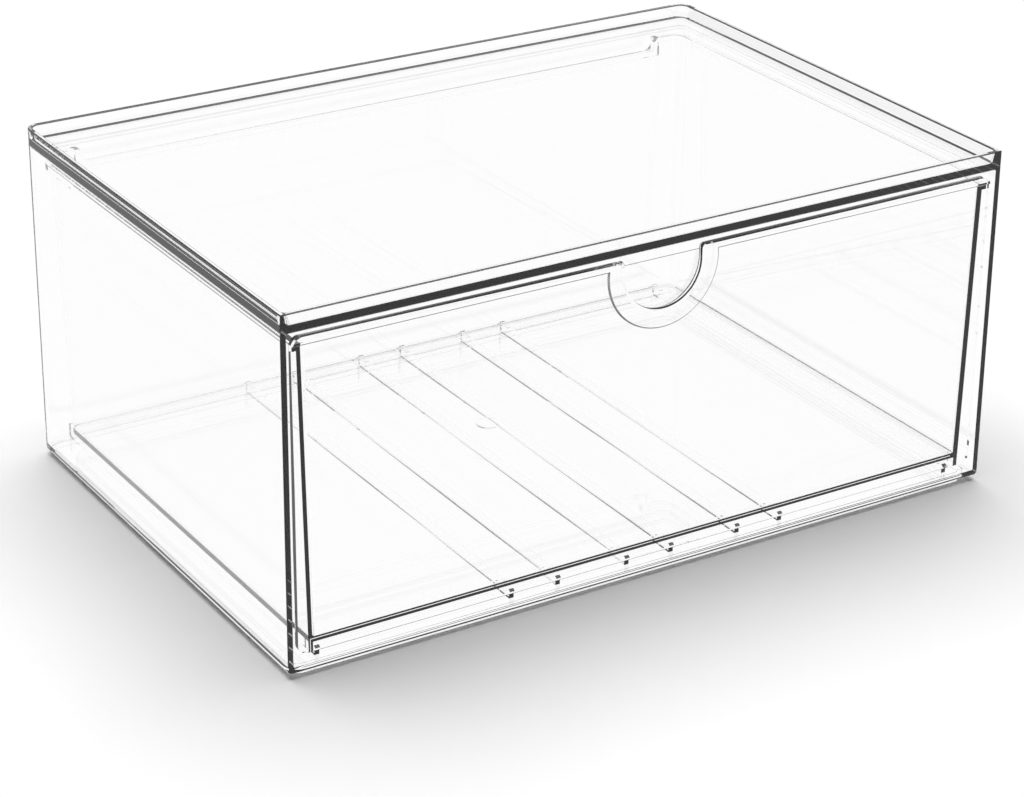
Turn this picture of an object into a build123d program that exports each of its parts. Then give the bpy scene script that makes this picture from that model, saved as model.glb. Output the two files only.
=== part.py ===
from build123d import *
import math
import os

# A clear stacking drawer box: an open-fronted housing and the drawer that slides in it.
# Millimetres. X runs across the front, Y from the front to the back, Z up.
# The origin is under the middle of the housing, on the surface that it stands on.

# Housing
width = 340.0
depth = 234.0
body_height = 151.0
housing_wall = 2.5
housing_top = 2.8
housing_floor = 2.5
housing_corner = 6.0
housing_bottom_round = 1.6
rim_height = 5.4
rim_thickness = 2.0
rim_round = 0.4
rim_front_corner = 2.0
foot_height = 2.5
foot_thickness = 2.0
foot_corner = 6.0
stack_clearance = 0.8

# Ribs on the housing floor, which carry the drawer
rib_width = 2.2
rib_height = 4.1
rib_nose = 2.0
rib_setback = 5.0
rib_pitch = 22.0
rib_pair_pitch = 55.4
rib_stop_height = 2.6
rib_stop_depth = 2.0
rib_stop_nose = 1.0
guide_clearance = 1.8

# Drawer front
front_gap = 2.5
front_thickness = 2.5
front_corner = 4.0
front_lip_height = 3.5
front_lip_raise = 1.0
notch_radius = 18.0
notch_band = 8.4
notch_centre_drop = 5.7
notch_mouth_round = 2.0
notch_back_round = 1.2

# Drawer tray
running_clearance = 0.3
tray_wall = 2.0
tray_floor = 2.2
tray_draft = 1.2
tray_outer_corner = 8.0
tray_inner_corner = 5.0
tray_front_corner = 1.5
tray_floor_round = 1.2
skirt_height = 3.3
side_drop = 3.1
back_drop = 6.5
back_corner_length = 15.0
back_step_round = 3.0
flange_overhang = 2.2
flange_thickness = 3.0
flange_side_gap = 2.8
gate_diameter = 10.5
gate_thickness = 0.5
gate_back_offset = 17.0

# Levels, from the standing surface up
floor_under = foot_height
floor_top = floor_under + housing_floor
rim_top = floor_under + body_height
roof_top = rim_top - rim_height
roof_under = roof_top - housing_top
rib_top = floor_top + rib_height
rib_stop_top = rib_top + rib_stop_height
skirt_bottom = rib_top + running_clearance
tray_under = skirt_bottom + skirt_height
tray_top = tray_under + tray_floor
front_top = roof_under - front_gap
side_top = front_top - side_drop
back_top = side_top - back_drop
notch_centre = front_top - notch_centre_drop

# Planes along Y
front_face = -depth / 2
back_face = depth / 2
inner_back = back_face - housing_wall
rib_stop_front = inner_back - rib_stop_depth
rib_front = front_face + rib_setback
panel_face = front_face + front_lip_raise
panel_back = panel_face + front_thickness
flange_back = rib_stop_front - running_clearance

# Half widths along X
inner_half = width / 2 - housing_wall
panel_half = inner_half - front_gap
flange_half = inner_half - flange_side_gap
tray_half_top = flange_half - flange_overhang
draft_slope = math.tan(math.radians(tray_draft))
skirt_half = tray_half_top - (side_top - skirt_bottom) * draft_slope
guide_place = skirt_half - tray_wall - guide_clearance - rib_width / 2


def block(x_low, x_high, y_low, y_high, z_low, z_high):
    """A box between two corners."""
    size = (x_high - x_low, y_high - y_low, z_high - z_low)
    middle = ((x_low + x_high) / 2, (y_low + y_high) / 2, (z_low + z_high) / 2)
    return Pos(*middle) * Box(*size)


def outline(half, y_low, y_high, back_radius, front_radius=0.0):
    """A rectangle about the Y axis, with its back and front corners rounded."""
    middle = (y_low + y_high) / 2
    sheet = Pos(0, middle) * Rectangle(2 * half, y_high - y_low)
    corners = sheet.vertices().group_by(Axis.Y)
    if front_radius > 0:
        front_corners = corners[0]
        sheet = fillet(front_corners, front_radius)
        corners = sheet.vertices().group_by(Axis.Y)
    return fillet(corners[-1], back_radius)


def prism(sheet, z_low, z_high):
    """A flat sheet pulled up between two levels."""
    return extrude(Pos(0, 0, z_low) * sheet, z_high - z_low)


def tray_solid(inset, z_low, z_high, y_low, back_radius, front_radius):
    """The tray's drafted shape, inset from its outside by a wall, between two levels."""
    sheets = []
    for level in (z_low, z_high):
        lean = (side_top - level) * draft_slope
        half = tray_half_top - inset - lean
        y_high = flange_back - flange_overhang - inset - lean
        sheet = outline(half, y_low, y_high, back_radius, front_radius)
        sheets.append(Pos(0, 0, level) * sheet)
    return loft(sheets, ruled=True)


def rib_places():
    """The middles of the floor ribs along X: three pairs, and one inside each side skirt."""
    places = [-guide_place, guide_place]
    for pair in (-1, 0, 1):
        for side in (-0.5, 0.5):
            places.append(pair * rib_pair_pitch + side * rib_pitch)
    return places


def nosed_block(place, y_low, z_low, z_high, nose):
    """A rib's length up to the back wall, with its upper front edge rounded."""
    low = place - rib_width / 2
    high = place + rib_width / 2
    solid = block(low, high, y_low, inner_back, z_low, z_high)
    front_edges = solid.edges().filter_by(Axis.X).group_by(Axis.Y)[0]
    return fillet(front_edges.sort_by(Axis.Z)[-1], nose)


def floor_rib(place):
    """One rib that runs to the back wall and climbs it as a stop."""
    run = nosed_block(place, rib_front, floor_top, rib_top, rib_nose)
    stop = nosed_block(place, rib_stop_front, rib_top, rib_stop_top, rib_stop_nose)
    return run + stop


def foot_ring():
    """The low ring under the floor that drops inside the rim of a box beneath."""
    sheets = []
    for depth_in in (0, foot_thickness):
        inset = rim_thickness + stack_clearance + depth_in
        radius = foot_corner - depth_in
        sheets.append(outline(width / 2 - inset, front_face + inset, back_face - inset, radius, radius))
    outer, inner = sheets
    return prism(outer - inner, 0, floor_under)


def housing():
    """The outer moulding: five walls, the stacking rim, the foot ring and the ribs."""
    body = prism(outline(width / 2, front_face, back_face, housing_corner), floor_under, rim_top)
    under = body.faces().sort_by(Axis.Z)[0]
    rounded = under.edges().sort_by(Axis.Y)[1:]
    body = fillet(rounded, housing_bottom_round)

    cavity_sheet = outline(inner_half, front_face, inner_back, housing_corner - housing_wall)
    body -= prism(cavity_sheet, floor_top, roof_under)

    tray_half = width / 2 - rim_thickness
    tray_back = back_face - rim_thickness
    tray_radius = housing_corner - rim_thickness
    tray_front = front_face + rim_thickness
    recess = outline(tray_half, tray_front, tray_back, tray_radius, rim_front_corner)
    body -= prism(recess, roof_top, rim_top)
    body = fillet(body.faces().sort_by(Axis.Z)[-1].edges(), rim_round)

    body += foot_ring()
    for place in rib_places():
        body += floor_rib(place)
    return body


def notch_cut(y_low, y_high):
    """The finger notch: a half round below, open at the top, with a rounded mouth."""
    rise = front_top - notch_centre
    reach = notch_radius + notch_mouth_round
    below = Pos(0, notch_centre) * Circle(notch_radius)
    above = Pos(0, notch_centre + rise / 2) * Rectangle(2 * notch_radius, rise)
    mouth_middle = front_top - notch_mouth_round / 2
    mouth = Pos(0, mouth_middle) * Rectangle(2 * reach, notch_mouth_round)
    for side in (-1, 1):
        mouth -= Pos(side * reach, front_top - notch_mouth_round) * Circle(notch_mouth_round)
    sheet = below + above + mouth
    return extrude(Plane.XZ.offset(-y_low) * sheet, -(y_high - y_low))


def front_sheet():
    """The front panel's outline, standing in the opening with an even gap."""
    height = front_top - skirt_bottom
    middle = (front_top + skirt_bottom) / 2
    return Pos(0, middle) * RectangleRounded(2 * panel_half, height, front_corner)


def drawer_front():
    """The front panel, its raised lip and the band around the finger notch."""
    panel = extrude(Plane.XZ.offset(-panel_face) * front_sheet(), -front_thickness)
    strip_middle = front_top - front_lip_height / 2
    strip = Pos(0, strip_middle) * Rectangle(2 * panel_half, front_lip_height)
    band = Pos(0, notch_centre) * Circle(notch_radius + notch_band)
    raised = (strip + band) & front_sheet()
    panel += extrude(Plane.XZ.offset(-front_face) * raised, -front_lip_raise)
    panel -= notch_cut(front_face, panel_back)
    arcs = panel.edges().filter_by(GeomType.CIRCLE)
    arcs = arcs.filter_by(lambda edge: abs(edge.radius - notch_radius) < 0.01)
    return fillet(arcs.sort_by(Axis.Y)[-1:], notch_back_round)


def tray_flange():
    """The rim around the tray's sides and back, stepped down along the back."""
    sheet = outline(flange_half, panel_back, flange_back, tray_outer_corner + flange_overhang)
    flange = prism(sheet, side_top - flange_thickness, side_top)
    reach = tray_half_top - back_corner_length + flange_thickness
    wall_line = flange_back - flange_overhang - tray_wall
    low = back_top - flange_thickness
    flange += block(-reach, reach, wall_line, flange_back, low, side_top)
    return flange


def back_step():
    """The room above the lowered middle of the tray's back, with rounded steps."""
    half = tray_half_top - back_corner_length
    rise = side_top - back_top
    sheet = Pos(0, back_top + rise) * Rectangle(2 * half, 2 * rise)
    sheet = fillet(sheet.vertices().group_by(Axis.Y)[0], back_step_round)
    start = flange_back - flange_overhang - tray_outer_corner - tray_wall
    return extrude(Plane.XZ.offset(-start) * sheet, -(flange_back - start))


def front_skirt():
    """The skirt across the tray's front, which stands on the ribs of the closed drawer."""
    reach = skirt_half - tray_wall / 2
    start = rib_front + rib_nose
    return block(-reach, reach, start, start + tray_wall, skirt_bottom, tray_under)


def drawer():
    """The sliding moulding: the front panel and a drafted tray behind it."""
    tray = tray_solid(0, skirt_bottom, side_top, panel_back, tray_outer_corner, 0.0)
    tray += tray_flange()
    room = tray_solid(tray_wall, tray_top, side_top, panel_back, tray_inner_corner, tray_front_corner)
    room = fillet(room.faces().sort_by(Axis.Z)[0].edges(), tray_floor_round)
    tray -= room
    under = tray_solid(tray_wall, skirt_bottom, tray_under, panel_back, tray_inner_corner, 0.0)
    tray -= under
    tray += front_skirt()
    tray -= back_step()
    gate = Pos(0, gate_back_offset, tray_under - gate_thickness / 2)
    tray += gate * Cylinder(gate_diameter / 2, gate_thickness)
    return tray + drawer_front()


def write(node, shape):
    """Save one piece under its own name."""
    shape.label = node
    export_step(shape, "parts/" + node + ".step")
    print(node, round(shape.volume), shape.bounding_box().size)


os.makedirs("parts", exist_ok=True)
write("housing", housing())
write("drawer", drawer())
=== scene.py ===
import math

import bmesh
import bpy
from bpy.props import FloatProperty, PointerProperty, StringProperty
from mathutils import Matrix, Vector


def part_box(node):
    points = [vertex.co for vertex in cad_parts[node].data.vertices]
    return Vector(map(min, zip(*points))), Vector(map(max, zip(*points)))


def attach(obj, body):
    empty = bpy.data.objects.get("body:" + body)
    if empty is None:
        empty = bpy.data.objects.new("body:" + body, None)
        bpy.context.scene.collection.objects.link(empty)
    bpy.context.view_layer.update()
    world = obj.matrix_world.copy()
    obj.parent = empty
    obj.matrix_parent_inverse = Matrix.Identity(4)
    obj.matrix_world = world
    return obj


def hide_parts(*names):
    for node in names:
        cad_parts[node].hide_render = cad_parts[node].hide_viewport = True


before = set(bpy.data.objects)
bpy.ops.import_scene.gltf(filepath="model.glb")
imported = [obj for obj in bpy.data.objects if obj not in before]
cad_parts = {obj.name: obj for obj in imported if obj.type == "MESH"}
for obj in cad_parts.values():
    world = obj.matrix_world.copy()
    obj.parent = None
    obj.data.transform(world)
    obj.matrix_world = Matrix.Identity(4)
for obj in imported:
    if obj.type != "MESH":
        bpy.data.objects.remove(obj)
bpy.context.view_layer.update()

bl_info = {
    "name": "Clear stacking drawer box",
    "version": (1, 0, 0),
    "blender": (4, 5, 0),
    "location": "View3D > Sidebar > Drawer Box",
    "description": "Models a clear moulded housing, its sliding drawer and the stage they stand on",
    "category": "Object",
}

# The clear plastic, then two tinted copies of it that are painted shade: a dark and a pale grey
# line on small roundings.
PLASTIC_AND_PAINTED_SHADE = ("clear_moulded_polystyrene", "clear_polystyrene_tight_rounding",
            "clear_polystyrene_soft_rounding")
# Places of the two painted shade tints above, and the value that lets a rounding take its
# neighbours' material.
PAINTED_DARK_LINE, PAINTED_GREY_LINE, NEIGHBOURS = 1, 2, -1

Y, Z = 1, 2
SLACK = 2e-5            # how far from a level a corner may lie and still be on it
OVERLAP = 0.001         # how far a piece reaches into the one that it joins
CLEAR_OF = 0.003        # how far a cutter reaches past the surface that it cuts
OPEN_REACH = 0.01       # how far the cavity's cutter stands out of the open front
PANEL_OVERLAP = 0.0005  # how far the tray and its flange reach into the front panel

MERGE_WITHIN = 2e-6     # corners nearer than this become one
SPECK = 1e-6            # edges shorter than this are dissolved
SMOOTH_BELOW = 32       # degrees between two faces that still count as one curve

# Small shapes that a user has no need to change
FOOT_ROUND = 0.0003
RIB_NOSE = 0.002
STOP_NOSE = 0.001
BACK_FLANGE_CORNER = 0.0015
BACK_FLANGE_EDGE = 0.0008
STEP_TOP_SHARE = 0.8    # the rounding at the top of a back step, as a share of its foot's
SKIRT_PLACE = 0.0035    # the front skirt's distance behind the front panel
GATE_OVERLAP = 0.0004   # how far the gate mark reaches into the tray's floor

# The camera: yaw, pitch and roll in degrees, then its place, lens and shift
CAMERA_TURN = (31.82, 24.06, 0.54)
CAMERA_PLACE = (-0.6341, -1.0256, 0.5987)
CAMERA_LENS = 107.12
CAMERA_SENSOR = 36.0
CAMERA_SHIFT = -0.0571
CAMERA_REACH = 50
LAMP_PLACE = (0.1, 0.25, 1.5)
LAMP_WAY = (-0.03, -0.2, -1.0)
FLOOR_SIZE = 60
FLOOR_LEVEL = -0.0002

HOUSING_LOW, HOUSING_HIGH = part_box("housing")
DRAWER_LOW, DRAWER_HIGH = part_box("drawer")


def length(name, description, default):
    """A size in metres that a user may change."""
    return FloatProperty(name=name, description=description, default=default, min=0.0,
                         precision=5, subtype="DISTANCE", unit="LENGTH")


class HousingSizes(bpy.types.PropertyGroup):
    """Sizes of the outer moulding."""
    width: length("Width", "Outside width of the housing", HOUSING_HIGH.x - HOUSING_LOW.x)
    depth: length("Depth", "Outside depth of the housing", HOUSING_HIGH.y - HOUSING_LOW.y)
    top: length("Top", "Height of the rim's top above the table", HOUSING_HIGH.z)
    wall: length("Wall", "Thickness of the side and back walls", 0.0025)
    roof: length("Roof", "Thickness of the top plate", 0.0028)
    floor: length("Floor", "Thickness of the bottom plate", 0.0025)
    corner: length("Corner radius", "Outside radius of the upright corners", 0.006)
    under_round: length("Bottom rounding", "Rounding between the walls and the underside", 0.0016)
    rim_height: length("Rim height", "How far the stacking rim stands above the top plate", 0.0054)
    rim_wall: length("Rim wall", "Thickness of the stacking rim", 0.002)
    rim_front_corner: length("Rim front corner", "Inside radius of the rim's front corners", 0.002)
    edge: length("Edge rounding", "Rounding of the moulding's free edges", 0.0005)
    inner_edge: length("Inner edge rounding", "Rounding where inner faces meet", 0.0008)
    recess_lean: length("Recess lean", "How much thicker the rim's sides are at their foot", 0.0013)
    recess_round: length("Recess rounding", "Rounding between the rim and the top plate", 0.0008)
    foot_height: length("Foot height", "Height of the ring that drops into the box beneath", 0.0025)
    foot_wall: length("Foot wall", "Thickness of the foot ring", 0.002)
    foot_inset: length("Foot inset", "Distance from the housing's side to the foot ring", 0.0028)
    rib_width: length("Rib width", "Width of one floor rib", 0.0022)
    rib_height: length("Rib height", "Height of the floor ribs", 0.0041)
    rib_stop: length("Rib stop height", "Height of each rib's stop against the back wall", 0.0026)
    rib_stop_depth: length("Rib stop depth", "How far the stops reach from the back wall", 0.002)
    rib_setback: length("Rib setback", "Distance from the front opening to the ribs", 0.005)
    rib_pitch: length("Rib pitch", "Distance between the two ribs of a pair", 0.022)
    rib_pair_pitch: length("Rib pair pitch", "Distance between the pairs of ribs", 0.0554)
    guide_place: length("Guide rib place", "Distance of the outer ribs from the middle", 0.1549)


class DrawerSizes(bpy.types.PropertyGroup):
    """Sizes of the sliding moulding."""
    panel_half: length("Panel half width", "Half the width of the front panel", DRAWER_HIGH.x)
    bottom: length("Bottom", "Height of the drawer's lower edge above the table", DRAWER_LOW.z)
    top: length("Top", "Height of the front panel's top above the table", DRAWER_HIGH.z)
    front: length("Front depth", "Distance of the raised lip in front of the middle", -DRAWER_LOW.y)
    back: length("Back depth", "Distance of the rear flange behind the middle", DRAWER_HIGH.y)
    panel: length("Panel thickness", "Thickness of the front panel", 0.0025)
    panel_corner: length("Panel corner", "Radius of the front panel's corners", 0.004)
    panel_edge: length("Panel edge rounding", "Rounding of the lip and the notch ring", 0.0007)
    touch_edge: length("Touch edge rounding", "Rounding of the notch and the panel's top", 0.0017)
    lip_raise: length("Lip raise", "How far the lip and the notch ring stand proud", 0.001)
    lip_height: length("Lip height", "Height of the raised strip along the top", 0.0035)
    notch: length("Notch radius", "Radius of the finger notch", 0.018)
    notch_ring: length("Notch ring width", "Width of the raised ring round the notch", 0.0084)
    notch_drop: length("Notch centre drop", "From the panel's top to the notch's centre", 0.0057)
    mouth: length("Notch mouth rounding", "Rounding where the notch meets the top edge", 0.002)
    side_drop: length("Side drop", "How far the side walls stay below the panel's top", 0.0031)
    back_drop: length("Back drop", "How far the back wall stays below the side walls", 0.0065)
    step_place: length("Back step place", "Distance of the steps from the tray's sides", 0.015)
    step_round: length("Back step rounding", "Radius at the foot of the back's steps", 0.003)
    wall: length("Tray wall", "Thickness of the tray's walls", 0.002)
    floor: length("Tray floor", "Thickness of the tray's floor", 0.0022)
    skirt: length("Skirt height", "How far the walls run on below the floor", 0.0033)
    front_skirt: length("Front skirt thickness", "Thickness of the skirt across the front", 0.0009)
    outer_corner: length("Outer corner", "Outside radius of the tray's back corners", 0.008)
    inner_corner: length("Inner corner", "Inside radius of the tray's back corners", 0.005)
    front_corner: length("Front corner", "Inside radius behind the front panel", 0.0015)
    floor_round: length("Floor rounding", "Rounding between the tray's walls and floor", 0.0006)
    flange: length("Flange overhang", "How far the flange stands out from the walls", 0.0022)
    flange_height: length("Flange thickness", "Thickness of the flange", 0.003)
    flange_half: length("Flange half width", "Half the width over the side flanges", 0.1647)
    edge: length("Edge rounding", "Rounding of the tray's free edges", 0.0005)
    gate: length("Gate mark diameter", "Diameter of the moulding gate's disc", 0.0105)
    gate_height: length("Gate mark thickness", "Thickness of the moulding gate's disc", 0.0005)
    gate_place: length("Gate mark place", "Distance of the gate mark behind the middle", 0.017)
    draft: FloatProperty(name="Draft", description="Lean of the tray's walls, for the mould",
                         default=math.radians(1.2), subtype="ANGLE", unit="ROTATION")


class LookSettings(bpy.types.PropertyGroup):
    """Colours and light."""
    plastic: StringProperty(name="Plastic colour", default="FFFFFF",
                            description="Clear resin, as sRGB hex")
    # Painted shade: a dark grey tint on the rim's top roundings draws their thin dark line.
    painted_rim_shade: StringProperty(name="Painted rim line", default="585858",
                          description="Tint of the rim's top edges, as sRGB hex")
    # Painted shade: a pale grey tint on the lip's and the notch ring's outline draws their grey
    # line.
    soft: StringProperty(name="Painted lip line", default="B8B8B8",
                         description="Tint of the lip's and the ring's outline, as sRGB hex")
    shade: StringProperty(name="Edge colour", default="000000",
                          description="Colour that long paths tend to, as sRGB hex")
    floor: StringProperty(name="Floor colour", default="FFFFFF",
                          description="Pale studio floor, as sRGB hex")
    density: FloatProperty(name="Absorption", default=2.5, min=0.0,
                           description="How fast light dies in the plastic, per metre")
    lamp: FloatProperty(name="Lamp strength", default=2.92, min=0.0,
                        description="Strength of the soft overhead light")
    lamp_angle: FloatProperty(name="Lamp softness", default=math.radians(62),
                              subtype="ANGLE", unit="ROTATION",
                              description="Angle over which the overhead light spreads")
    fill: FloatProperty(name="Fill", default=0.1, min=0.0,
                        description="Strength of the light from all round")


def linear(code):
    """The linear colour of an sRGB hex value."""
    channels = [int(code[start:start + 2], 16) / 255 for start in (0, 2, 4)]
    return [c / 12.92 if c <= 0.04045 else ((c + 0.055) / 1.055) ** 2.4 for c in channels] + [1.0]


def add_node(tree, kind, links=(), **settings):
    """Add a shader node: settings by socket or property name, links as (socket name, output)."""
    node = tree.nodes.new(kind)
    sockets = {socket.name.lower().replace(" ", "_"): socket
               for socket in reversed(list(node.inputs))}
    for name, value in settings.items():
        if name in sockets:
            sockets[name].default_value = value
        else:
            setattr(node, name, value)
    for socket, source in links:
        tree.links.new(source, node.inputs[socket])
    return node


def clear_moulded_plastic(look, name, colour):
    """Injection-moulded clear polystyrene: hard gloss and a bright body. Faint flow waves from
    the mould make the reflections and the lines seen through it swim a little."""
    material = bpy.data.materials.new(name)
    material.use_nodes = True
    tree = material.node_tree
    tree.nodes.clear()
    place = add_node(tree, "ShaderNodeTexCoord")
    # Flow waves about 60 mm long and at most about 15 micrometres high.
    waves = add_node(tree, "ShaderNodeTexNoise", [("Vector", place.outputs["Object"])],
                     scale=16.0, detail=0.0)
    bump = add_node(tree, "ShaderNodeBump", [("Height", waves.outputs["Fac"])],
                    strength=0.05, distance=0.0003)
    # The colour tints the plastic; the grey ones paint shade on the roundings that take them.
    shader = add_node(tree, "ShaderNodeBsdfPrincipled",
                      [("Normal", bump.outputs["Normal"])],
                      base_color=linear(colour), roughness=0.0, ior=1.5,
                      transmission_weight=1.0)
    inside = add_node(tree, "ShaderNodeVolumeAbsorption", color=linear(look.shade),
                      density=look.density)
    add_node(tree, "ShaderNodeOutputMaterial",
             [("Surface", shader.outputs["BSDF"]), ("Volume", inside.outputs["Volume"])])


def only(piece):
    """Select this piece alone and make it the active one."""
    bpy.ops.object.select_all(action="DESELECT")
    piece.select_set(True)
    bpy.context.view_layer.objects.active = piece


def settle(piece, name):
    """Name a new primitive and put its place and size into its mesh."""
    piece.name = name
    piece.data.name = name
    only(piece)
    bpy.ops.object.transform_apply(location=True, rotation=True, scale=True)
    return piece


def dressed(piece):
    """Give a new piece the clear plastic and the two painted shade tints that its faces may take.
    """
    for name in PLASTIC_AND_PAINTED_SHADE:
        piece.data.materials.append(bpy.data.materials[name])
    return piece


def block(name, low, high):
    """A box between two corners."""
    bpy.ops.object.select_all(action="DESELECT")
    low, high = Vector(low), Vector(high)
    bpy.ops.mesh.primitive_cube_add(size=1, location=(low + high) / 2, scale=high - low)
    return dressed(settle(bpy.context.object, name))


def disc(name, centre, radius, thickness, along, sides):
    """A round plate about the Y or Z axis."""
    bpy.ops.object.select_all(action="DESELECT")
    turn = (math.pi / 2, 0, 0) if along == "Y" else (0, 0, 0)
    bpy.ops.mesh.primitive_cylinder_add(vertices=sides, radius=radius, depth=thickness,
                                        location=centre, rotation=turn)
    return dressed(settle(bpy.context.object, name))


def select_edges(piece, wanted):
    """Open the piece for editing with only the wanted edges selected; tell how many there are."""
    only(piece)
    bpy.ops.object.mode_set(mode="EDIT")
    bpy.ops.mesh.select_mode(type="EDGE")
    bpy.ops.mesh.select_all(action="DESELECT")
    shape = bmesh.from_edit_mesh(piece.data)
    count = 0
    for edge in shape.edges:
        if wanted(edge):
            edge.select_set(True)
            count += 1
    bmesh.update_edit_mesh(piece.data)
    return count


def round_edges(piece, wanted, radius, segments, clamp=True, look=NEIGHBOURS):
    """Round the wanted edges of a piece. The clamp stays off on curves of many short edges,
    and the look is the rounding's material: its neighbours', or one of the painted shade tints."""
    if not select_edges(piece, wanted):
        bpy.ops.object.mode_set(mode="OBJECT")
        raise RuntimeError("no edge to round on " + piece.name)
    bpy.ops.mesh.bevel(offset=radius, segments=segments, profile=0.5, affect="EDGES",
                       clamp_overlap=clamp, material=look)
    bpy.ops.object.mode_set(mode="OBJECT")


def push(piece, wanted, way):
    """Move the wanted corners of a piece."""
    only(piece)
    bpy.ops.object.mode_set(mode="EDIT")
    bpy.ops.mesh.select_mode(type="VERT")
    bpy.ops.mesh.select_all(action="DESELECT")
    shape = bmesh.from_edit_mesh(piece.data)
    for corner in shape.verts:
        if wanted(corner.co):
            corner.select_set(True)
    bmesh.update_edit_mesh(piece.data)
    bpy.ops.transform.translate(value=way)
    bpy.ops.object.mode_set(mode="OBJECT")


def combine(piece, other, operation):
    """Add, cut or intersect with another piece, which is used up."""
    only(piece)
    modifier = piece.modifiers.new("combine", "BOOLEAN")
    modifier.operation = operation
    modifier.solver = "EXACT"
    modifier.object = other
    bpy.ops.object.modifier_apply(modifier=modifier.name)
    spent = other.data
    bpy.data.objects.remove(other)
    bpy.data.meshes.remove(spent)
    if not piece.data.polygons:
        raise RuntimeError(piece.name + " came out empty")
    return piece


def near(value, target):
    """Whether a coordinate lies at a level."""
    return abs(value - target) < SLACK


def upright(edge):
    """Whether an edge runs mostly up and down."""
    span = edge.verts[0].co - edge.verts[1].co
    return abs(span.z) > 0.9 * span.length


def level(edge, axis, value):
    """Whether both ends of an edge lie at one value of an axis."""
    return all(near(end.co[axis], value) for end in edge.verts)


def middle(edge):
    """The middle of an edge."""
    return (edge.verts[0].co + edge.verts[1].co) / 2


def finish(piece, body, node):
    """Tidy the mesh, smooth its roundings, hide its CAD part and let it ride on its body."""
    only(piece)
    bpy.ops.object.mode_set(mode="EDIT")
    bpy.ops.mesh.select_mode(type="VERT")
    bpy.ops.mesh.select_all(action="SELECT")
    bpy.ops.mesh.remove_doubles(threshold=MERGE_WITHIN)
    bpy.ops.mesh.dissolve_degenerate(threshold=SPECK)
    bpy.ops.mesh.normals_make_consistent(inside=False)
    bpy.ops.object.mode_set(mode="OBJECT")
    bpy.ops.object.shade_smooth_by_angle(angle=math.radians(SMOOTH_BELOW))
    # The wide flat faces keep their own normals, so only the roundings bend light.
    flatten = piece.modifiers.new("weighted_normals", "WEIGHTED_NORMAL")
    flatten.keep_sharp = True
    flatten.weight = 100
    flatten.thresh = 0.01
    bpy.ops.object.modifier_apply(modifier=flatten.name)
    shape = bmesh.new()
    shape.from_mesh(piece.data)
    loose = [edge for edge in shape.edges if not edge.is_manifold]
    volume = shape.calc_volume(signed=True)
    shape.free()
    print(piece.name, "volume mm3", round(volume * 1e9), "open edges", len(loose),
          "faces", len(piece.data.polygons))
    if loose or volume <= 0:
        raise RuntimeError(piece.name + " isn't a closed solid")
    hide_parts(node)
    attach(piece, body)


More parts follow.
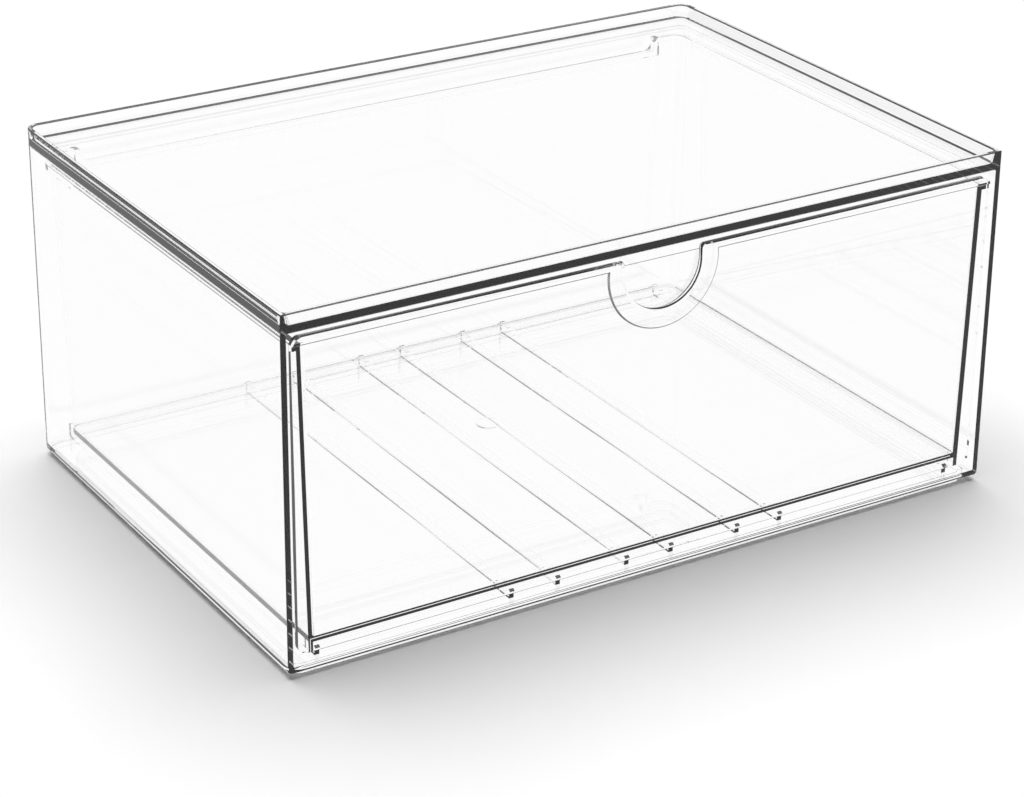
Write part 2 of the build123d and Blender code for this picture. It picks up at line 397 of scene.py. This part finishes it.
class DRAWERBOX_OT_housing(bpy.types.Operator):
    """Model the open-fronted housing with its stacking rim, foot ring and floor ribs"""
    bl_idname = "drawerbox.housing"
    bl_label = "Housing"

    def shell(self, s):
        """The outer block, with its back corners and its underside rounded."""
        half, front, back = s.width / 2, -s.depth / 2, s.depth / 2
        body = block("housing_shell", (-half, front, s.foot_height), (half, back, s.top))
        round_edges(body, lambda e: upright(e) and middle(e).y > 0, s.corner, 12)
        round_edges(body, lambda e: level(e, Z, s.foot_height) and not level(e, Y, front),
                    s.under_round, 4)
        return body

    def cavity(self, s):
        """The room that the drawer slides in, open to the front."""
        half, back = s.width / 2 - s.wall, s.depth / 2 - s.wall
        front = -s.depth / 2 - OPEN_REACH
        low = s.foot_height + s.floor
        high = s.top - s.rim_height - s.roof
        room = block("cavity", (-half, front, low), (half, back, high))
        round_edges(room, lambda e: upright(e) and middle(e).y > 0, s.corner - s.wall, 10)
        round_edges(room, lambda e: (level(e, Z, low) or level(e, Z, high))
                    and not level(e, Y, front), s.inner_edge, 3)
        return room

    def recess(self, s):
        """The shallow tray on top, inside the stacking rim."""
        half, reach = s.width / 2 - s.rim_wall, s.depth / 2 - s.rim_wall
        low = s.top - s.rim_height
        tray = block("recess", (-half, -reach, low), (half, reach, s.top))
        for side in (-1, 1):
            push(tray, lambda co: near(co.z, low) and co.x * side > 0,
                 (-side * s.recess_lean, 0, 0))
        round_edges(tray, lambda e: upright(e) and middle(e).y > 0, s.corner - s.rim_wall, 10)
        round_edges(tray, lambda e: upright(e) and middle(e).y < 0, s.rim_front_corner, 8)
        round_edges(tray, lambda e: level(e, Z, low), s.recess_round, 4)
        push(tray, lambda co: near(co.z, s.top), (0, 0, 0.0001))
        return tray

    def foot(self, s):
        """The ring that drops inside the rim of a box beneath."""
        rings = []
        for extra, low, high in ((0.0, 0.0, 0.0006), (s.foot_wall, 0.002, 0.002)):
            inset = s.foot_inset + extra
            half, reach = s.width / 2 - inset, s.depth / 2 - inset
            ring = block("foot_ring", (-half, -reach, -low), (half, reach, s.foot_height + high))
            round_edges(ring, upright, s.corner - extra, 10)
            rings.append(ring)
        outer, inner = rings
        combine(outer, inner, "DIFFERENCE")
        round_edges(outer, lambda e: level(e, Z, 0.0), FOOT_ROUND, 2)
        return outer

    def rib(self, s):
        """One floor rib with its rounded nose and its stop against the back wall."""
        floor = s.foot_height + s.floor
        wall = s.depth / 2 - s.wall
        top = floor + s.rib_height
        stop_top = top + s.rib_stop
        half = s.rib_width / 2
        run = block("floor_ribs", (-half, -s.depth / 2 + s.rib_setback, floor - OVERLAP),
                    (half, wall + OVERLAP, top))
        round_edges(run, lambda e: level(e, Z, top) and middle(e).y < -0.1, RIB_NOSE, 6)
        stop = block("rib_stop", (-half, wall - s.rib_stop_depth, top - 2 * OVERLAP),
                     (half, wall + OVERLAP, stop_top))
        round_edges(stop, lambda e: level(e, Z, stop_top) and middle(e).y < wall - 0.0015,
                    STOP_NOSE, 4)
        combine(run, stop, "UNION")
        return run

    def ribs(self, s):
        """The rib copied to its eight places and joined into one piece."""
        first = self.rib(s)
        places = [-s.guide_place, s.guide_place]
        for pair in (-1, 0, 1):
            for side in (-0.5, 0.5):
                places.append(pair * s.rib_pair_pitch + side * s.rib_pitch)
        copies = []
        for place in places:
            copy = first.copy()
            copy.data = first.data.copy()
            bpy.context.scene.collection.objects.link(copy)
            copy.location.x = place
            copies.append(copy)
        bpy.data.objects.remove(first)
        bpy.ops.object.select_all(action="DESELECT")
        for copy in copies:
            copy.select_set(True)
        bpy.context.view_layer.objects.active = copies[0]
        bpy.ops.object.join()
        return settle(copies[0], "floor_ribs")

    def execute(self, context):
        s = context.scene.box_housing
        body = self.shell(s)
        combine(body, self.cavity(s), "DIFFERENCE")
        combine(body, self.recess(s), "DIFFERENCE")
        front = -s.depth / 2
        # The rim's top edges are rounded and tinted dark grey, a painted shade line.
        round_edges(body, lambda e: level(e, Z, s.top) and len(e.link_faces) == 2
                    and any(abs(f.normal.z) < 0.5 for f in e.link_faces),
                    s.edge, 3, clamp=False, look=PAINTED_DARK_LINE)
        combine(body, self.foot(s), "UNION")
        combine(body, self.ribs(s), "UNION")
        round_edges(body, lambda e: level(e, Y, front)
                    and any(f.normal.y > -0.5 for f in e.link_faces), s.edge, 3, clamp=False)
        finish(body, "housing", "housing")
        return {"FINISHED"}


class DRAWERBOX_OT_drawer(bpy.types.Operator):
    """Model the sliding drawer: the front panel with its finger notch and the tray behind it"""
    bl_idname = "drawerbox.drawer"
    bl_label = "Drawer"

    def field(self, s, face):
        """The cutter that sinks the panel's face below its lip and its notch ring."""
        line = s.top - s.lip_height
        half = s.panel_half + CLEAR_OF
        field = block("field", (-half, -s.front - 0.004, s.bottom - CLEAR_OF),
                      (half, face, line))
        ring = disc("notch_ring", (0, face - 0.002, s.top - s.notch_drop),
                    s.notch + s.notch_ring, 0.008, "Y", 128)
        return combine(field, ring, "DIFFERENCE")

    def notch(self, s, y_low, y_high):
        """The finger notch's cutter: a half round, open at the top."""
        centre = s.top - s.notch_drop
        hole = disc("notch", (0, (y_low + y_high) / 2, centre), s.notch, y_high - y_low,
                    "Y", 96)
        slot = block("notch_slot", (-s.notch, y_low - OVERLAP, centre),
                     (s.notch, y_high + OVERLAP, s.top + 0.02))
        return combine(hole, slot, "UNION")

    def panel(self, s):
        """The front panel with its raised lip, notch ring and rounded edges."""
        face = -s.front + s.lip_raise
        back = face + s.panel
        sheet = block("front_panel", (-s.panel_half, -s.front, s.bottom),
                      (s.panel_half, back, s.top))
        round_edges(sheet, lambda e: near(abs(e.verts[0].co.y - e.verts[1].co.y), back + s.front),
                    s.panel_corner, 10)
        combine(sheet, self.field(s, face), "DIFFERENCE")
        combine(sheet, self.notch(s, -s.front - CLEAR_OF, back + CLEAR_OF), "DIFFERENCE")
        round_edges(sheet, lambda e: level(e, Z, s.top) and near(abs(e.verts[0].co.x), s.notch)
                    and near(abs(e.verts[1].co.x), s.notch), s.mouth, 8)

        def outlines(e, y):
            """Whether an edge borders the face at this depth."""
            return level(e, Y, y) and any(abs(f.normal.y) < 0.7 for f in e.link_faces)

        def away(e):
            """The distance of an edge from the notch's centre, seen from the front."""
            return math.hypot(middle(e).x, middle(e).z - (s.top - s.notch_drop))

        def touched(e):
            """Whether an edge is on the notch or on the panel's top, short of the corners."""
            on_notch = away(e) < s.notch + s.mouth + 0.001
            inside = abs(middle(e).x) < s.panel_half - s.panel_corner
            return (on_notch or near(middle(e).z, s.top)) and inside

        def bordering(e):
            """Whether an edge is on the lip's lower line or on the ring's outer one."""
            below = middle(e).z < s.top - s.lip_height + 0.0001
            return below and away(e) > s.notch + s.notch_ring - 0.001

        for face_y in (-s.front, back):
            round_edges(sheet, lambda e: outlines(e, face_y) and touched(e), s.touch_edge, 5,
                        clamp=False)
        # The lip's lower line and the ring's outer line are rounded and tinted pale grey, a painted
        # shade line.
        round_edges(sheet, lambda e: outlines(e, -s.front) and bordering(e), s.panel_edge, 3,
                    clamp=False, look=PAINTED_GREY_LINE)
        return sheet

    def tub(self, s, name, inset, z_low, z_high, y_low, back_radius, front_radius):
        """A block with the tray's draft: its sides and back lean in towards the floor."""
        side_top = s.top - s.side_drop
        slope = math.tan(s.draft)
        half = s.flange_half - s.flange - inset - (side_top - z_high) * slope
        back = s.back - s.flange - inset - (side_top - z_high) * slope
        lean = (z_high - z_low) * slope
        shape = block(name, (-half, y_low, z_low), (half, back, z_high))
        low = lambda co: near(co.z, z_low)
        push(shape, lambda co: low(co) and co.x < 0, (lean, 0, 0))
        push(shape, lambda co: low(co) and co.x > 0, (-lean, 0, 0))
        push(shape, lambda co: low(co) and co.y > 0, (0, -lean, 0))
        round_edges(shape, lambda e: upright(e) and middle(e).y > 0, back_radius, 10)
        if front_radius > 0:
            round_edges(shape, lambda e: upright(e) and near(middle(e).y, y_low),
                        front_radius, 4)
        return shape

    def flanges(self, s):
        """The flange round the tray's sides and back, with its free edges rounded."""
        side_top = s.top - s.side_drop
        start = -s.front + s.lip_raise + s.panel - PANEL_OVERLAP
        rim = block("flange", (-s.flange_half, start, side_top - s.flange_height),
                    (s.flange_half, s.back, side_top))
        round_edges(rim, lambda e: upright(e) and middle(e).y > 0, s.outer_corner + s.flange, 12)
        low = side_top - s.back_drop - s.flange_height
        reach = s.flange_half - s.flange - s.step_place + s.flange_height
        drop = block("back_flange", (-reach, s.back - s.flange - s.wall, low),
                     (reach, s.back, side_top - OVERLAP))
        round_edges(drop, lambda e: upright(e) and near(middle(e).y, s.back),
                    BACK_FLANGE_CORNER, 4)
        round_edges(drop, lambda e: level(e, Z, low) and middle(e).y > s.back - s.flange,
                    BACK_FLANGE_EDGE, 3)
        combine(rim, drop, "UNION")
        return rim

    def tray(self, s):
        """The drafted tray with its floor, skirts, lowered back and flange."""
        side_top = s.top - s.side_drop
        panel_back = -s.front + s.lip_raise + s.panel
        floor_low = s.bottom + s.skirt
        floor_top = floor_low + s.floor
        tray = self.tub(s, "tray", 0.0, s.bottom, side_top - s.flange_height / 2,
                        panel_back - PANEL_OVERLAP, s.outer_corner, 0.0)
        combine(tray, self.flanges(s), "UNION")
        room = self.tub(s, "room", s.wall, floor_top, side_top + 0.004, panel_back,
                        s.inner_corner, s.front_corner)
        round_edges(room, lambda e: level(e, Z, floor_top), s.floor_round, 4)
        combine(tray, room, "DIFFERENCE")
        under = self.tub(s, "under", s.wall, s.bottom - 0.002, floor_low, panel_back,
                         s.inner_corner, 0.0)
        combine(tray, under, "DIFFERENCE")
        return tray

    def back_step(self, s):
        """The cutter over the lowered middle of the tray's back."""
        side_top = s.top - s.side_drop
        low = side_top - s.back_drop
        half = s.flange_half - s.flange - s.step_place
        start = s.back - s.flange - s.outer_corner - s.wall
        cutter = block("back_step", (-half, start, low),
                       (half, s.back + CLEAR_OF, side_top + 2 * CLEAR_OF))
        round_edges(cutter, lambda e: level(e, Z, low) and near(abs(middle(e).x), half),
                    s.step_round, 6)
        return cutter

    def execute(self, context):
        s = context.scene.box_drawer
        body = self.panel(s)
        body.name = "drawer_body"
        tray = self.tray(s)
        combine(tray, self.back_step(s), "DIFFERENCE")
        side_top = s.top - s.side_drop
        step = s.flange_half - s.flange - s.step_place
        round_edges(tray, lambda e: level(e, Z, side_top) and near(abs(e.verts[0].co.x), step)
                    and near(abs(e.verts[1].co.x), step), s.step_round * STEP_TOP_SHARE, 6,
                    clamp=False)
        tops = (side_top, side_top - s.back_drop)
        round_edges(tray, lambda e: any(level(e, Z, top) for top in tops)
                    and middle(e).y > -s.front + 0.004
                    and any(abs(f.normal.z) < 0.7 for f in e.link_faces), s.edge, 2, clamp=False)
        combine(body, tray, "UNION")
        panel_back = -s.front + s.lip_raise + s.panel
        slope = math.tan(s.draft)
        reach = s.flange_half - s.flange - (side_top - s.bottom) * slope - s.wall / 2
        skirt = block("front_skirt", (-reach, panel_back + SKIRT_PLACE, s.bottom),
                      (reach, panel_back + SKIRT_PLACE + s.front_skirt,
                       s.bottom + s.skirt + OVERLAP))
        combine(body, skirt, "UNION")
        gate_level = s.bottom + s.skirt - s.gate_height / 2 + GATE_OVERLAP / 2
        gate = disc("gate_mark", (0, s.gate_place, gate_level), s.gate / 2,
                    s.gate_height + GATE_OVERLAP, "Z", 48)
        combine(body, gate, "UNION")
        finish(body, "drawer", "drawer")
        return {"FINISHED"}


class DRAWERBOX_OT_stage(bpy.types.Operator):
    """Set the pale floor, the soft overhead light and the camera"""
    bl_idname = "drawerbox.stage"
    bl_label = "Stage"

    def floor(self, look):
        """A plain floor, pure white seen through the box, with its soft shadow outside it."""
        bpy.ops.object.select_all(action="DESELECT")
        bpy.ops.mesh.primitive_plane_add(size=FLOOR_SIZE, location=(0, 0, FLOOR_LEVEL))
        floor = settle(bpy.context.object, "studio_floor")
        # Matt painted board: no gloss, so the shadow stays soft and even.
        material = bpy.data.materials.new("matt_painted_floor")
        material.use_nodes = True
        tree = material.node_tree
        tree.nodes.clear()
        paint = add_node(tree, "ShaderNodeBsdfDiffuse", color=linear(look.floor))
        lit = add_node(tree, "ShaderNodeEmission", color=linear(look.floor), strength=1.0)
        rays = add_node(tree, "ShaderNodeLightPath")
        seen = add_node(tree, "ShaderNodeMath",
                        [(0, rays.outputs["Is Transmission Ray"]),
                         (1, rays.outputs["Is Glossy Ray"])], operation="MAXIMUM")
        mixed = add_node(tree, "ShaderNodeMixShader",
                         [(0, seen.outputs[0]), (1, paint.outputs[0]), (2, lit.outputs[0])])
        add_node(tree, "ShaderNodeOutputMaterial", [("Surface", mixed.outputs[0])])
        floor.data.materials.append(material)

    def world(self, context, look):
        """A white room for the camera and for reflections, and a faint fill for the rest."""
        world = bpy.data.worlds.new("white_room")
        context.scene.world = world
        world.use_nodes = True
        tree = world.node_tree
        tree.nodes.clear()
        fill = add_node(tree, "ShaderNodeBackground", color=linear("FFFFFF"),
                        strength=look.fill)
        white = add_node(tree, "ShaderNodeBackground", color=linear("FFFFFF"), strength=1.0)
        rays = add_node(tree, "ShaderNodeLightPath")
        some = add_node(tree, "ShaderNodeMath",
                        [(0, rays.outputs["Is Camera Ray"]),
                         (1, rays.outputs["Is Glossy Ray"])], operation="MAXIMUM")
        seen = add_node(tree, "ShaderNodeMath",
                        [(0, some.outputs[0]),
                         (1, rays.outputs["Is Transmission Ray"])], operation="MAXIMUM")
        mixed = add_node(tree, "ShaderNodeMixShader",
                         [(0, seen.outputs[0]), (1, fill.outputs[0]), (2, white.outputs[0])])
        add_node(tree, "ShaderNodeOutputWorld", [("Surface", mixed.outputs[0])])

    def lamp(self, look):
        """A wide soft light overhead, which shines a little towards the front."""
        lamp = bpy.data.lights.new("overhead_softbox", "SUN")
        lamp.angle = look.lamp_angle
        lamp.energy = look.lamp
        holder = bpy.data.objects.new("overhead_softbox", lamp)
        bpy.context.scene.collection.objects.link(holder)
        holder.location = LAMP_PLACE
        holder.rotation_euler = Vector(LAMP_WAY).to_track_quat("-Z", "Y").to_euler()
        holder.visible_transmission = False
        holder.visible_glossy = False

    def camera(self, context):
        """The photograph's viewing angle: from the left, above the top plate."""
        camera = bpy.data.cameras.new("camera")
        holder = bpy.data.objects.new("camera", camera)
        context.scene.collection.objects.link(holder)
        context.scene.camera = holder
        yaw, pitch, roll = (math.radians(angle) for angle in CAMERA_TURN)
        ahead = Vector((math.sin(yaw) * math.cos(pitch), math.cos(yaw) * math.cos(pitch),
                        -math.sin(pitch)))
        right = Vector((math.cos(yaw), -math.sin(yaw), 0))
        up = right.cross(ahead)
        across = math.cos(roll) * right + math.sin(roll) * up
        above = math.cos(roll) * up - math.sin(roll) * right
        turn = Matrix((across, above, -ahead)).transposed().to_4x4()
        holder.matrix_world = Matrix.Translation(CAMERA_PLACE) @ turn
        camera.sensor_width = CAMERA_SENSOR
        camera.lens = CAMERA_LENS
        camera.shift_y = CAMERA_SHIFT
        camera.clip_end = CAMERA_REACH

    def execute(self, context):
        look = context.scene.box_look
        self.floor(look)
        self.world(context, look)
        self.lamp(look)
        self.camera(context)
        scene = context.scene
        scene.view_settings.view_transform = "Standard"
        # Clear plates in a row need long light paths. The glossy limit also sets a look: it
        # ends the paths that are caught inside the roof, so the roof's front edge is dark as in
        # the photograph. At 24 or more that edge turns light grey.
        scene.cycles.max_bounces = 32
        scene.cycles.transmission_bounces = 32
        scene.cycles.glossy_bounces = 16
        scene.cycles.diffuse_bounces = 3
        return {"FINISHED"}


class DRAWERBOX_PT_panel(bpy.types.Panel):
    """The drawer box's steps and sizes"""
    bl_idname = "DRAWERBOX_PT_panel"
    bl_label = "Drawer Box"
    bl_space_type = "VIEW_3D"
    bl_region_type = "UI"
    bl_category = "Drawer Box"

    def draw(self, context):
        for kind in (DRAWERBOX_OT_housing, DRAWERBOX_OT_drawer, DRAWERBOX_OT_stage):
            self.layout.operator(kind.bl_idname)
        scene = context.scene
        for title, sizes in (("Housing", scene.box_housing), ("Drawer", scene.box_drawer),
                             ("Look", scene.box_look)):
            group = self.layout.box()
            group.label(text=title)
            for name in sizes.__annotations__:
                group.prop(sizes, name)


CLASSES = (HousingSizes, DrawerSizes, LookSettings, DRAWERBOX_OT_housing, DRAWERBOX_OT_drawer,
           DRAWERBOX_OT_stage, DRAWERBOX_PT_panel)


def register():
    for kind in CLASSES:
        bpy.utils.register_class(kind)
    bpy.types.Scene.box_housing = PointerProperty(type=HousingSizes)
    bpy.types.Scene.box_drawer = PointerProperty(type=DrawerSizes)
    bpy.types.Scene.box_look = PointerProperty(type=LookSettings)


def unregister():
    del bpy.types.Scene.box_look
    del bpy.types.Scene.box_drawer
    del bpy.types.Scene.box_housing
    for kind in reversed(CLASSES):
        bpy.utils.unregister_class(kind)


def main():
    """Build the box and its stage."""
    register()
    look = bpy.context.scene.box_look
    # The two grey tints are painted shade: they draw the thin dark and pale grey lines that small
    # roundings show on the real box, which the clear mesh alone shows too weakly.
    for name, colour in zip(PLASTIC_AND_PAINTED_SHADE, (look.plastic, look.painted_rim_shade, look.soft)):
        clear_moulded_plastic(look, name, colour)
    bpy.ops.drawerbox.stage()
    bpy.ops.drawerbox.housing()
    bpy.ops.drawerbox.drawer()


if __name__ == "__main__":
    main()
